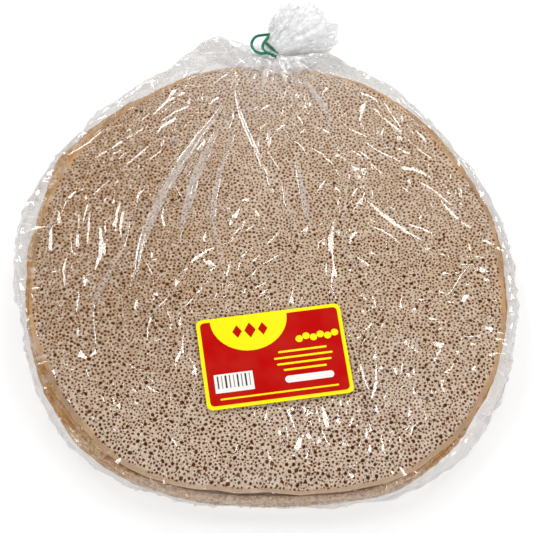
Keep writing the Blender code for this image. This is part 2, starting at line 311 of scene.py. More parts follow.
def value_noise(x, y, seed):
    """Smooth noise from -1 to 1 with features about one unit across."""
    size = 64
    table = np.random.default_rng(seed).uniform(-1.0, 1.0, (size, size))
    xi, yi = np.floor(x).astype(int), np.floor(y).astype(int)
    fx, fy = smooth_step(x - xi), smooth_step(y - yi)

    def row(j):
        left, right = table[xi % size, j % size], table[(xi + 1) % size, j % size]
        return left * (1 - fx) + right * fx

    return row(yi) * (1 - fy) + row(yi + 1) * fy


def layered_noise(x, y, seed, layers):
    total = 0.0
    for k in range(layers):
        total = total + value_noise(x * 2**k, y * 2**k, seed + k) / 2**k
    return total


def plan_noise(x, y, scale, seed, layers=2):
    """Noise over the plan, with features about `scale` across."""
    return layered_noise((x + 1.0) / scale, (y + 1.0) / scale, seed, layers)


def ring_noise(turn, ripples, seed, layers=3, row=0.0):
    """Noise round a turn, with about this many ripples and no seam."""
    reach = ripples / 6.0
    x, y = reach * np.cos(turn) + 9.0 + row, reach * np.sin(turn) + 9.0 + row
    return layered_noise(x, y, seed, layers)


class Spots:
    """Round spots in plan, kept in square cells so that near ones are found fast."""

    def __init__(self, cell):
        self.cell = cell
        self.cells = {}

    def add(self, x, y, radius=0.0):
        place = (int(x // self.cell), int(y // self.cell))
        self.cells.setdefault(place, []).append((x, y, radius))

    def free(self, x, y, reach):
        """Whether each spot lies further off than `reach` and its own radius."""
        i, j = int(x // self.cell), int(y // self.cell)
        for a in (i - 1, i, i + 1):
            for b in (j - 1, j, j + 1):
                for ox, oy, radius in self.cells.get((a, b), ()):
                    if math.dist((x, y), (ox, oy)) < reach + radius:
                        return False
        return True


def label_distance(x, y):
    """How far places lie outside the label, in plan."""
    dx, dy = x - LABEL_CENTRE[0], y - LABEL_CENTRE[1]
    c, s = math.cos(LABEL_TURN), math.sin(LABEL_TURN)
    out_x = np.maximum(np.abs(dx * c + dy * s) - LABEL_SIZE[0] / 2, 0.0)
    out_y = np.maximum(np.abs(dy * c - dx * s) - LABEL_SIZE[1] / 2, 0.0)
    return np.hypot(out_x, out_y)


# ---------------------------------------------------------------- meshes


def placed(name, data):
    """A new object in the scene."""
    made = bpy.data.objects.new(name, data)
    bpy.context.scene.collection.objects.link(made)
    return made


def make_piece(name, points, faces, looks, values=None, face_looks=None, crisp=None):
    """A mesh object that rides on the part, with point values as attributes.

    It is smooth, apart from edges that bend by more than the angle `crisp`.
    """
    mesh = bpy.data.meshes.new(name)
    sizes = np.array([len(face) for face in faces], np.int32)
    corners = np.concatenate(faces).astype(np.int32)
    mesh.vertices.add(len(points))
    mesh.vertices.foreach_set("co", np.asarray(points, np.float32).ravel())
    mesh.loops.add(len(corners))
    mesh.loops.foreach_set("vertex_index", corners)
    mesh.polygons.add(len(sizes))
    mesh.polygons.foreach_set("loop_start", (np.cumsum(sizes) - sizes).astype(np.int32))
    mesh.polygons.foreach_set("loop_total", sizes)
    if face_looks is not None:
        mesh.polygons.foreach_set("material_index", np.array(face_looks, np.int32))
    mesh.update(calc_edges=True)
    mesh.validate()
    mesh.polygons.foreach_set("use_smooth", np.full(len(mesh.polygons), crisp != 0.0))
    if crisp:
        mesh.set_sharp_from_angle(angle=crisp)
    for key, value in (values or {}).items():
        layer = mesh.attributes.new(key, "FLOAT", "POINT")
        layer.data.foreach_set("value", np.asarray(value, np.float32))
    for look in looks:
        mesh.materials.append(look)
    made = placed(name, mesh)
    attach(made, "root")
    return made


def grid_faces(rows, columns, first=0):
    """Quads between closed rows of points."""
    i = np.arange(rows - 1)[:, None] * columns
    k = np.arange(columns)[None, :]
    after = (k + 1) % columns
    quads = np.stack([i + k, i + after, i + columns + after, i + columns + k], -1)
    return quads.reshape(-1, 4) + first


def cap_faces(first, count, middle):
    """Triangles from a closed row of points to the point in its middle."""
    k = np.arange(count)
    return np.stack([first + k, first + (k + 1) % count, np.full(count, middle)], 1)


def split_quads(quads, flips=None):
    """Two triangles from each quad; where flips is true, along the other diagonal."""
    one = np.concatenate([quads[:, [0, 1, 2]], quads[:, [0, 2, 3]]])
    if flips is None:
        return one
    two = np.concatenate([quads[:, [0, 1, 3]], quads[:, [1, 2, 3]]])
    return np.where(np.concatenate([flips, flips])[:, None], two, one)


def subdivide(points, faces, values):
    """Each triangle cut into four, with new points at the edges' middles."""
    edges = np.concatenate([faces[:, [0, 1]], faces[:, [1, 2]], faces[:, [2, 0]]])
    unique, index = np.unique(np.sort(edges, axis=1), axis=0, return_inverse=True)
    ab, bc, ca = index.reshape(3, -1) + len(points)
    a, b, c = faces.T
    corners = ((a, ab, ca), (ab, b, bc), (ca, bc, c), (ab, bc, ca))
    cut = np.concatenate([np.stack(three, 1) for three in corners])
    points = np.concatenate([points, points[unique].mean(axis=1)])
    values = np.concatenate([values, values[unique].mean(axis=1)])
    return points, cut, values


def neighbour_mean(values, faces):
    total = np.zeros_like(values)
    weight = np.zeros(len(values))
    for i, j in ((0, 1), (1, 2), (2, 0), (1, 0), (2, 1), (0, 2)):
        for k in range(values.shape[1]):
            total[:, k] += np.bincount(faces[:, i], values[faces[:, j], k], len(values))
        weight += np.bincount(faces[:, i], minlength=len(values))
    return total / np.maximum(weight, 1.0)[:, None]


def triangulated(points, values, around, edges=()):
    """A Delaunay mesh of flat points that keeps its outline and the given edges.

    The first `around` points are the closed outline. Returns the points, the
    triangles, which face up, the points' values and, for each point, the input that
    it is. Where two edges cross is a new point, with -1 and with values of 0.
    """
    flat = [Vector((float(x), float(y))) for x, y in points]
    outline = [(k, (k + 1) % around) for k in range(around)]
    made = delaunay_2d_cdt(flat, outline + list(edges), [], 0, 1e-7)
    places = np.array([tuple(v) for v in made[0]])
    faces = np.array([face for face in made[2] if len(face) == 3])
    source = np.array([ids[0] if ids else -1 for ids in made[3]])
    values = np.where((source >= 0)[:, None], np.array(values)[source], 0.0)
    a, b, c = (places[faces[:, k]] for k in range(3))
    ab, ac = b - a, c - a
    area = ab[:, 0] * ac[:, 1] - ab[:, 1] * ac[:, 0]
    faces = np.where((area < 0)[:, None], faces[:, ::-1], faces)
    return places, faces, values, source


# ---------------------------------------------------------------- materials


class Nodes:
    """Short ways to add and link shader nodes."""

    def __init__(self, tree):
        self.tree = tree

    def add(self, kind, inputs=None, **settings):
        """A new node; a socket among the inputs is linked, and other values are set."""
        node = self.tree.nodes.new(kind)
        for key, value in settings.items():
            setattr(node, key, value)
        for key, value in (inputs or {}).items():
            if isinstance(value, bpy.types.NodeSocket):
                self.tree.links.new(value, node.inputs[key])
            else:
                node.inputs[key].default_value = value
        return node

    def math(self, operation, a, b, clamp=False):
        made = self.add("ShaderNodeMath", {0: a, 1: b}, operation=operation, use_clamp=clamp)
        return made.outputs[0]

    def mix(self, share, a, b):
        return self.add("ShaderNodeMix", {0: share, 6: a, 7: b}, data_type="RGBA").outputs[2]

    def spread(self, value, low, high, to_low=0.0, to_high=1.0):
        inputs = dict(enumerate((value, low, high, to_low, to_high)))
        return self.add("ShaderNodeMapRange", inputs, clamp=True).outputs[0]

    def coords(self):
        return self.add("ShaderNodeTexCoord").outputs["Object"]

    def axis(self, name):
        return self.add("ShaderNodeSeparateXYZ", {0: self.coords()}).outputs[name]

    def noise(self, scale, detail=3.0, roughness=0.55):
        inputs = {"Scale": scale, "Detail": detail, "Roughness": roughness}
        return self.add("ShaderNodeTexNoise", {"Vector": self.coords(), **inputs}).outputs[0]

    def cells(self, scale):
        """Distance from the middle of the nearest random cell, in cell sizes."""
        inputs = {"Vector": self.coords(), "Scale": scale}
        return self.add("ShaderNodeTexVoronoi", inputs, feature="F1").outputs["Distance"]

    def front(self, start, end, most):
        """0 behind the start's Y, rising to `most` at the end's."""
        return self.math("MULTIPLY", self.spread(self.axis("Y"), start, end), most)

    def value(self, name):
        return self.add("ShaderNodeAttribute", attribute_name=name).outputs["Fac"]

    def bump(self, height, distance):
        inputs = {"Height": height, "Strength": 1.0, "Distance": distance}
        return self.add("ShaderNodeBump", inputs).outputs[0]

    def blend(self, share, a, b):
        return self.add("ShaderNodeMixShader", {0: share, 1: a, 2: b}).outputs[0]

    def principled(self, colour, roughness, **others):
        inputs = {key.replace("_", " "): value for key, value in others.items()}
        inputs.update({"Base Color": colour, "Roughness": roughness})
        return self.add("ShaderNodeBsdfPrincipled", inputs).outputs[0]

    def finish(self, shader):
        self.add("ShaderNodeOutputMaterial", {"Surface": shader})


def new_material(name):
    made = bpy.data.materials.new(name)
    made.use_nodes = True
    made.node_tree.nodes.clear()
    return made, Nodes(made.node_tree)


def grey(level):
    return (level, level, level, 1.0)


def rgb(*screen):
    """A colour given as 0-255 screen values, as a linear RGBA."""

    def linear(value):
        value /= 255.0
        return value / 12.92 if value <= 0.04045 else ((value + 0.055) / 1.055) ** 2.4

    return (*map(linear, screen), 1.0)


def top_bread_material():
    """Beige sponge; `pore` darkens the pits that the mesh holds, a browner colour with painted
    shade, and `edge` the rim.
    """
    made, n = new_material("injera_top")
    patches = n.noise(28.0, 4.0, 0.6)
    mottle = n.noise(240.0, 3.0, 0.6)
    grain = n.noise(900.0, 2.0, 0.5)
    base = n.mix(n.spread(patches, 0.35, 0.65), rgb(210, 180, 147), rgb(226, 200, 170))
    # Painted shade: darker and browner towards the left side.
    base = n.mix(n.spread(n.axis("X"), -0.01, -0.11), base, rgb(186, 152, 115))
    base = n.mix(n.front(-0.05, -0.15, 0.8), base, rgb(240, 219, 199))
    base = n.mix(n.spread(mottle, 0.4, 0.68, 0.0, 0.85), base, rgb(246, 232, 214))
    base = n.mix(n.spread(grain, 0.35, 0.65, 0.4, 0.0), base, rgb(172, 138, 102))
    edge = n.value("edge")
    # The finest pores as dark specks, sunk by the bump: a browner colour with painted shade.
    specks = n.spread(n.cells(780.0), 0.18, 0.33, 1.0, 0.0)
    specks = n.math("MULTIPLY", specks, n.spread(edge, 0.0, 0.6, 0.8, 0.1))
    base = n.mix(specks, base, rgb(128, 80, 38))
    crust = n.mix(n.spread(patches, 0.4, 0.6), rgb(164, 124, 86), rgb(204, 158, 104))
    crust = n.mix(n.front(-0.14, -0.175, 1.0), crust, rgb(192, 160, 128))
    base = n.mix(n.spread(edge, 0.25, 1.0, 0.0, 0.8), base, crust)
    # The pits: a browner colour with painted shade, darkest towards each pit's bottom.
    pore = n.value("pore")
    floor = n.mix(n.spread(mottle, 0.4, 0.6), rgb(96, 46, 6), rgb(132, 74, 16))
    floor = n.mix(n.spread(pore, 1.3, 2.3), floor, rgb(112, 62, 20))
    wall = n.mix(n.spread(pore, 0.0, 0.07), base, rgb(170, 106, 34))
    colour = n.mix(n.spread(pore, 0.06, 0.24), wall, floor)
    normal = n.bump(n.math("SUBTRACT", n.math("MULTIPLY", mottle, 0.6), specks), 0.15 * MM)
    n.finish(n.principled(colour, 0.72, Normal=normal, Specular_IOR_Level=0.25))
    return made


def rim_bread_material():
    """The golden, fibrous edges of the lower breads; `depth` paints shade into the crease under
    the top bread.
    """
    made, n = new_material("injera_rim")
    patches = n.noise(45.0, 3.0, 0.6)
    fibres = n.noise(420.0, 4.0, 0.65)
    base = n.mix(n.spread(patches, 0.42, 0.58), rgb(196, 146, 86), rgb(218, 192, 158))
    base = n.mix(n.front(-0.15, -0.18, 0.8), base, rgb(212, 188, 164))
    base = n.mix(n.front(0.03, 0.10, 0.7), base, rgb(206, 178, 146))
    base = n.mix(n.spread(fibres, 0.42, 0.66, 0.0, 0.85), base, rgb(150, 104, 60))
    # Painted shade: the crease under the top bread, darkened by `depth`.
    base = n.mix(n.spread(n.value("depth"), 0.1, 0.8, 0.0, 0.9), base, rgb(140, 88, 46))
    pits = n.spread(n.cells(520.0), 0.1, 0.35, 1.0, 0.0)
    colour = n.mix(n.math("MULTIPLY", pits, 0.35), base, rgb(120, 82, 46))
    normal = n.bump(n.math("SUBTRACT", fibres, n.math("MULTIPLY", pits, 0.6)), 0.5 * MM)
    n.finish(n.principled(colour, 0.75, Normal=normal, Specular_IOR_Level=0.25))
    return made


def film_material(name, milk_colour, tints, hazes, shines, ripple):
    """Clear film: it lets light through, mirrors a little, and is milky by `haze`.

    Each pair holds the level where the film faces the eye, or is clear, and the
    level where it is steep, or milky.
    """
    made, n = new_material(name)
    wave = n.noise(260.0, 2.0, 0.5)
    fine = n.noise(900.0, 2.0, 0.5)
    normal = n.bump(n.math("ADD", wave, n.math("MULTIPLY", fine, 0.25)), ripple)
    facing = n.add("ShaderNodeLayerWeight", {"Blend": 0.5, "Normal": normal})
    facing = facing.outputs["Facing"]
    shine = n.spread(n.math("POWER", facing, 3.5), 0.0, 1.0, *shines)
    tint = n.mix(n.math("POWER", facing, 1.5), *map(grey, tints))
    clear = n.add("ShaderNodeBsdfTransparent", {"Color": tint})
    rough = n.spread(fine, 0.3, 0.7, 0.03, 0.09)
    inputs = {"Color": grey(1.0), "Roughness": rough, "Normal": normal}
    gloss = n.add("ShaderNodeBsdfGlossy", inputs)
    milk = {"Color": milk_colour, "Normal": normal}
    front = n.add("ShaderNodeBsdfDiffuse", milk).outputs[0]
    through = n.add("ShaderNodeBsdfTranslucent", milk).outputs[0]
    cloudy = n.blend(0.12, front, through)
    streaks = n.spread(wave, 0.35, 0.65, 0.7, 1.25)
    haze = n.spread(n.value("haze"), 0.0, 1.0, *hazes)
    body = n.blend(n.math("MULTIPLY", haze, streaks, True), clear.outputs[0], cloudy)
    n.finish(n.blend(shine, body, gloss.outputs[0]))
    return made


def print_material(name, colour):
    """Printed label stock: one colour with a faint paper tooth."""
    made, n = new_material(name)
    tooth = n.noise(1400.0, 2.0)
    shade = n.mix(n.spread(n.noise(45.0, 2.0), 0.35, 0.7, 0.0, 0.02), colour, rgb(255, 200, 160))
    sheen = n.spread(tooth, 0.3, 0.7, 0.37, 0.47)
    normal = n.bump(tooth, 0.01 * MM)
    n.finish(n.principled(shade, sheen, Normal=normal, Specular_IOR_Level=0.08))
    return made


def tie_material():
    """Green plastic ribbon with fine streaks."""
    made, n = new_material("tie_green")
    streak = n.noise(900.0, 3.0)
    colour = n.mix(n.spread(streak, 0.35, 0.7), rgb(0, 92, 60), rgb(0, 132, 92))
    rough = n.spread(streak, 0.3, 0.7, 0.4, 0.55)
    n.finish(n.principled(colour, rough, Normal=n.bump(streak, 0.04 * MM)))
    return made


def stage_material():
    """A pale floor that glows a little, as under wide studio lights."""
    made, n = new_material("stage_white")
    pale = n.mix(n.spread(n.noise(3.0), 0.3, 0.7), grey(0.60), grey(0.61))
    glow = {"Emission_Color": grey(1.0), "Emission_Strength": FLOOR_GLOW}
    n.finish(n.principled(pale, 0.8, Specular_IOR_Level=0.1, **glow))
    return made


# ---------------------------------------------------------------- breads


def crease(turn):
    return np.clip(periodic(CREASE, turn), 0.0, 1.0)


def bread_centre(level):
    return PACK_CENTRE + np.random.default_rng(70 + level).uniform(-0.6, 0.6, 2) * MM


def bread_radius(level, turn):
    """A lower bread's radius at each turn: level 0 is the lowest."""
    rng = np.random.default_rng(40 + level)
    wave = np.zeros_like(turn)
    for count in (2, 3, 5, 8, 13, 21):
        wave += rng.normal() / count**0.55 * np.cos(count * turn + rng.uniform(0, 6))
    inward = 1.6 * MM * (1.0 + np.tanh(wave * 0.8) + 0.5 * ring_noise(turn, 60, 140 + level))
    if level >= BREADS - 3:
        share = 1.0 if level == BREADS - 2 else 0.8 + 0.4 * ring_noise(turn, 20, 31)
        inward = inward + SAG_INSET * periodic(EDGE_SAG, turn) * share
    if level <= CREASE_LEVEL:
        inward = inward * (1 - 0.8 * crease(turn)) - 0.8 * MM * crease(turn)
    return periodic(STACK_RADII, turn) - inward


def top_bread_radius(turn):
    """The top bread's plan radius, which dips in and out more than the others."""
    ragged = 0.5 * MM * ring_noise(turn, 40, 17)
    wavy = (1.5 + 1.3 * ring_noise(turn, 34, 19)) * MM
    return periodic(TOP_RADII, turn) + ragged - wavy * crease(turn)


def edge_sag(x, y):
    """How much lower the pack is here than its even thickness, as a share."""
    turn, reach = polar(x, y)
    gap = periodic(STACK_RADII, turn) - reach
    return periodic(EDGE_SAG, turn) * (1.0 - smooth_step(gap / EDGE_SAG_WIDTH))


def sagged(x, y, z):
    """Places of an evenly thick pack, lowered where its edge is thinner."""
    return np.stack([x, y, z * (1 - edge_sag(x, y))], 1)


def stack_swell(x, y):
    """Slow swells of the whole stack's upper side."""
    return 0.40 * MM * plan_noise(x, y, 70 * MM, 5)


def lower_bread(level, look):
    """A closed disc with a lumpy upper rim and a rounded edge."""
    turn = full_turn(BREAD_AROUND)
    radius = bread_radius(level, turn)
    centre = bread_centre(level)
    base = STACK_BOTTOM + level * BREAD_PITCH
    half = BREAD_THICKNESS / 2
    lump = ring_noise(turn, 34, 12 + level)
    curl = np.zeros_like(turn)
    if level == CREASE_LEVEL:
        curl = CREASE_CURL * crease(turn) * (1 + 0.4 * ring_noise(turn, 30, 61))
    middle = 7.0 + 1.2 * ring_noise(turn, 40, 62)
    rows, depths = [], []

    def add_row(out, z):
        rows.append(sagged(*plan_places(turn, out, centre).T, z))

    for inset in (120, 50, 20, 13, 10, 8, 6.4, 5.0, 4.0):
        out = radius - inset * MM
        bumps = plan_noise(*(out * heading(turn).T), 3.2 * MM, 200 + level, 3)
        fade = smooth_step((14 - inset) / 4)
        droop = 0.5 * MM * smooth_step((8 - inset) / 5)
        z = base + BREAD_THICKNESS + (0.32 * bumps - 0.1) * MM * fade - droop
        # How deep the crease's groove sinks here; it also sets the shade painted into it.
        depths.append(curl / CREASE_CURL * smooth_step(1.4 - abs(inset - middle) / 3.5))
        z = z - 0.3 * CREASE_CURL * depths[-1]
        add_row(out, z + curl * smooth_step((5.5 - inset) / 1.5))
    for k in range(11):
        angle = math.pi * k / 10
        down = 0.5 + 0.5 * math.cos(angle)
        fine = ring_noise(turn, 150, 90 + level, 3, k * 0.9)
        out = radius - 1.6 * half * (1 - math.sin(angle) ** 0.8)
        out = out + (1.0 * lump + 0.6 * fine) * MM * math.sin(angle)
        z = base + half + half * math.cos(angle) - 0.5 * MM * down + curl * down
        add_row(out, z + 0.35 * MM * lump * math.sin(angle) + 0.2 * MM * fine)
    for inset in (12, 60, 120):
        add_row(radius - inset * MM, np.full_like(turn, base))
    middles = [[*centre, base + BREAD_THICKNESS], [*centre, base]]
    points = np.concatenate([*rows, middles])
    count = BREAD_AROUND
    sides = split_quads(grid_faces(len(rows), count))
    upper = cap_faces(0, count, len(points) - 2)
    under = cap_faces((len(rows) - 1) * count, count, len(points) - 1)
    faces = np.concatenate([sides[:, ::-1], upper, under[:, ::-1]])
    depth = np.zeros(len(points))
    depth[: len(depths) * count] = np.concatenate(depths)
    name = f"injera_{level + 1}"
    return make_piece(name, points, faces, [look], {"depth": depth})


def pore_field():
    """Large, middling and small pores; the large ones lie mostly towards the front."""
    rng = np.random.default_rng(11)
    spots = Spots(4.0 * MM)

    def rim_share(x, y):
        """Distance in from the rim, in widths of the plain edge."""
        turn, reach = polar(x, y, bread_centre(BREADS - 1))
        return (top_bread_radius(turn) - reach) / periodic(PLAIN_EDGES, turn)

    def nearness(y):
        return np.clip((0.155 - y) / 0.35, 0.0, 1.0)

    def large(x, y):
        chance = 0.02 + 0.62 * nearness(y) ** 2.2 + 0.22 * value_noise(x / 0.02, y / 0.02, 3)
        keep = (rim_share(x, y) > 1.5) & (rng.random(len(x)) < chance)
        size = 1.12 + 0.28 * nearness(y) * rng.random(len(x)) + 0.2 * rng.random(len(x))
        return np.where(keep, size * MM, 0.0)

    def middle(x, y):
        patch = value_noise(x / 0.014, y / 0.014, 4)
        keep = rim_share(x, y) > 0.7 + 0.5 * rng.random(len(x))
        size = 0.72 + 0.12 * nearness(y) + 0.13 * patch + 0.42 * rng.random(len(x)) ** 1.3
        return np.where(keep, size * MM, 0.0)

    def small(x, y):
        keep = rim_share(x, y) > 0.5 + 0.6 * rng.random(len(x))
        return np.where(keep, (0.36 + 0.2 * rng.random(len(x))) * MM, 0.0)

    def fill(size_at, tries, most, gap):
        """Throws pores at the top bread; size_at gives the radius or 0."""
        made = []
        xs, ys = rng.uniform(-0.18, 0.18, tries), rng.uniform(-0.20, 0.155, tries)
        radii = size_at(xs, ys)
        for x, y, radius in zip(xs.tolist(), ys.tolist(), radii.tolist()):
            if radius > 0.0 and spots.free(x, y, radius + gap):
                spots.add(x, y, radius)
                made.append((x, y, radius))
            if len(made) == most:
                break
        return made

    sorts = ((large, LARGE_PORES), (middle, MIDDLE_PORES), (small, SMALL_PORES))
    return [fill(size_at, *numbers) for size_at, numbers in sorts]


class Pits:
    """Points of the top bread's face with their depth and darkness, a browner colour with painted
    shade.
    """

    def __init__(self, rng, edge):
        self.rng = rng
        self.places = [tuple(place) for place in edge]
        self.values = [(0.0, 0.0)] * len(edge)

    def add(self, x, y, depth, dark):
        self.places.append((x, y))
        self.values.append((depth, dark))

    def ring(self, spot, sides, share, depth, dark, squash):
        x, y, radius = spot
        start = self.rng.uniform(0, 2 * math.pi)
        lean, long, short = squash
        c, s = math.cos(lean), math.sin(lean)
        for k in range(sides):
            a = start + 2 * math.pi * k / sides
            reach = radius * share * (1.0 + 0.08 * self.rng.normal())
            u, v = reach * math.cos(a) * long, reach * math.sin(a) * short
            self.add(x + u * c - v * s, y + u * s + v * c, depth, dark)

    def squash(self):
        long = 1.0 + 0.18 * self.rng.random()
        return self.rng.uniform(0, math.pi), long, 1.0 / long


def pitted_face(edge):
    """The pores' points, joined into one flat mesh inside the given edge."""
    rng = np.random.default_rng(3)
    pits = Pits(rng, edge)
    big, mid, tiny = pore_field()
    for x, y, radius in big:
        dark, squash = rng.uniform(0.5, 1.0), pits.squash()
        pits.ring((x, y, radius), 8, 1.0, -0.05 * MM, 0.0, squash)
        pits.ring((x, y, radius), 6, 0.74, 0.9 * radius, 0.9, squash)
        pits.add(x, y, radius, 1.0 + 1.5 * dark * (rng.random() < 0.8))
    for x, y, radius in mid:
        dark = rng.uniform(0.55, 1.0)
        sides = 6 if radius > 1.0 * MM else 5
        pits.ring((x, y, radius), sides, 1.0, -0.04 * MM, 0.0, pits.squash())
        pits.add(x, y, 1.5 * radius, dark * 1.5)
    for x, y, radius in tiny:
        pits.ring((x, y, radius), 3, 1.2, 0.0, 0.0, pits.squash())
        pits.add(x, y, 1.3 * radius, rng.uniform(0.6, 1.3))
    return triangulated(pits.places, pits.values, len(edge))


def top_bread(look):
    """The top bread: pits as open cones in the upper face, and a rounded edge."""
    centre = bread_centre(BREADS - 1)
    count = BREAD_AROUND
    turn = full_turn(count)
    inner = top_bread_radius(turn) - TOP_BREAD_ROUND
    flat, faces, values, source = pitted_face(plan_places(turn, inner, centre))
    depth, dark = values.T
    face_turn, face_reach = polar(*flat[faces].mean(axis=1).T, centre)
    limit = np.interp(face_turn, turn, inner, period=2 * np.pi)
    faces = faces[face_reach < limit]
    # The upper side: slow swells, lumps, and a droop at the rim.
    at, reach = polar(*flat.T, centre)
    gap = top_bread_radius(at) - reach
    droop = (1.0 - smooth_step(gap / (15 * MM))) ** 1.5
    lumps = 0.18 * MM * plan_noise(*flat.T, 9 * MM, 33)
    top = STACK_TOP + stack_swell(*flat.T) + lumps - 1.6 * MM * droop
    upper = np.column_stack([flat, top - depth])
    # The point of the upper side that each step of its edge became.
    rim = np.full(count, -1)
    found = (source >= 0) & (source < count)
    rim[source[found]] = np.flatnonzero(found)
    # The rounded side, and the plain underside.
    lump = ring_noise(turn, 30, 77)
    rim_top = upper[rim, 2]
    base = rim_top - BREAD_THICKNESS + 0.4 * MM
    rows = []
    for k in range(1, 9):
        angle = math.pi * k / 8
        fine = ring_noise(turn, 140, 55, 3, k * 0.8)
        out = inner + TOP_BREAD_ROUND * math.sin(min(angle, math.pi / 2 + 0.9)) ** 0.9
        out = out + (0.35 * lump + 0.2 * fine) * MM * math.sin(angle)
        z = base + (rim_top - base) * (0.5 + 0.5 * math.cos(angle))
        rows.append(np.column_stack([plan_places(turn, out, centre), z]))
    rows.append(np.column_stack([centre + 0.85 * (rows[-1][:, :2] - centre), base]))
    points = np.concatenate([upper, *rows, [[*centre, base.mean()]]])
    points = sagged(*points.T)
    first = len(upper)
    after = np.roll(np.arange(count), -1)
    join = np.stack([rim, rim[after], first + after, first + np.arange(count)], 1)
    walls = grid_faces(len(rows), count, first)
    under = cap_faces(first + (len(rows) - 1) * count, count, len(points) - 1)
    sides = np.concatenate([split_quads(join), split_quads(walls), under])
    faces = np.concatenate([faces, sides[:, ::-1]])
    edge = 1.0 - smooth_step((gap - 2 * MM) / periodic(PLAIN_EDGES, at))
    rest = np.zeros(len(points) - first)
    values = {
        "pore": np.concatenate([dark, rest]),
        "edge": np.concatenate([edge, rest + 1.0]),
    }
    return make_piece(f"injera_{BREADS}", points, faces, [look], values)


# ---------------------------------------------------------------- film


def film_radius(turn):
    radius = periodic(FILM_RADII, turn) + FILM_RAGGED * ring_noise(turn, 54, 77)
    for place, width, size in FILM_SHOULDERS:
        away = (np.mod(turn - math.radians(place) + np.pi, 2 * np.pi) - np.pi) / width
        radius = radius + size * MM * np.exp(-(away**2))
    return radius


def unrolled_radius(turn):
    """How far the unrolled film reaches: over the top and down round the rim."""
    return film_radius(turn) - FILM_RIM_WIDTH + FILM_SIDE_LENGTH


def unrolled_share(x, y):
    turn, reach = polar(x, y)
    return reach / (unrolled_radius(turn) - 2 * MM)


def line_across(path, shift):
    """A path moved sideways by the given distances."""
    ahead = np.gradient(path, axis=0)
    ahead /= np.linalg.norm(ahead, axis=1)[:, None]
    side = np.stack([-ahead[:, 1], ahead[:, 0]], 1)
    return path + side * np.asarray(shift)[:, None]


def straight(middle, turn, length, count, curl):
    """A nearly straight path through its middle; it turns by `curl` on the way."""
    along = np.linspace(-0.5, 0.5, count)
    return middle + length * (along[:, None] * heading(turn + curl * along))


